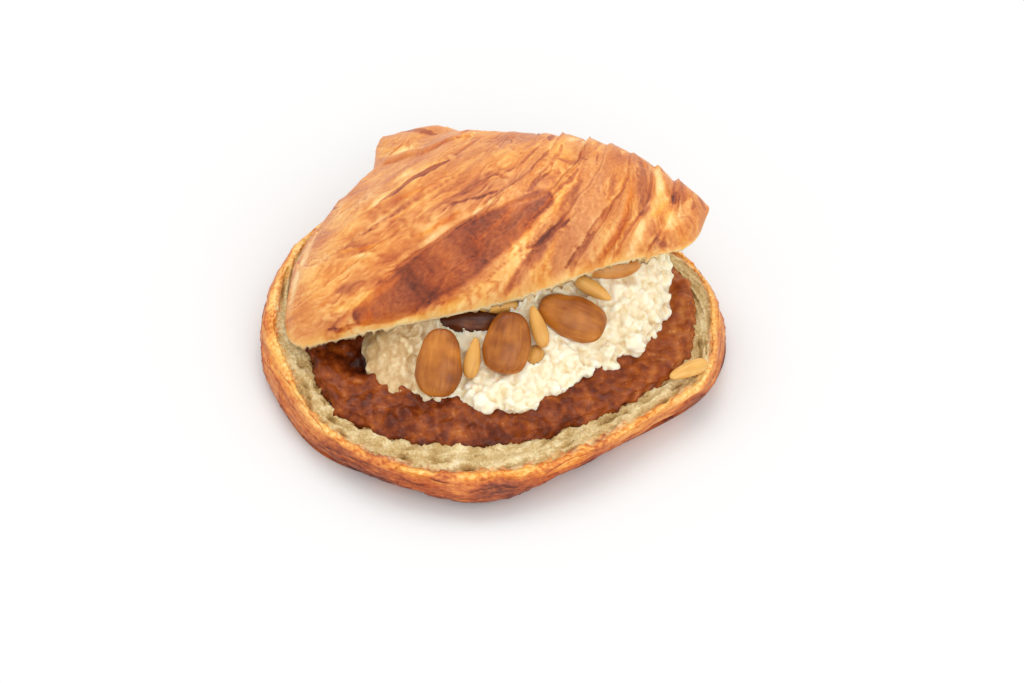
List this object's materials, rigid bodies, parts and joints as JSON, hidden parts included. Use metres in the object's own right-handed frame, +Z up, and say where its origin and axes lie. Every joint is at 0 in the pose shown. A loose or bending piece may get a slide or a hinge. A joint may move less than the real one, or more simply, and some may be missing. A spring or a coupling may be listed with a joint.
{
  "type": "cream-filled croissant",
  "caption": "Croissant cut open lengthwise and filled with brown fruit paste, curd cream, almonds and pine nuts, the top tilted up over the filling.",
  "frame": {"origin": "on the table, under the middle of the bounding box", "axes": "+Z up, +X towards the right horn, +Y back, away from the open side"},
  "size_m": [0.1486, 0.1436, 0.0637],
  "materials": {
    "base_crust": "baked crust, satin, with pale torn crumb on the cut face",
    "lid_crust": "glazed baked crust, soft sheen, darker along the rolled strips",
    "fruit_paste": "wet grainy paste",
    "curd_cream": "moist curd",
    "almond": "honey-glazed, satin",
    "pine_nut": "toasted, satin"
  },
  "bodies": {
    "root": {"croissant_base": "base_crust", "croissant_lid": "lid_crust", "fruit_paste": "fruit_paste", "curd_cream": "curd_cream", "almond_1": "almond", "almond_2": "almond", "almond_3": "almond", "almond_4": "almond", "almond_5": "almond", "pine_nut_1": "pine_nut", "pine_nut_2": "pine_nut", "pine_nut_3": "pine_nut", "pine_nut_4": "pine_nut", "pine_nut_5": "pine_nut", "pine_nut_6": "pine_nut"}
  },
  "joints": []
}
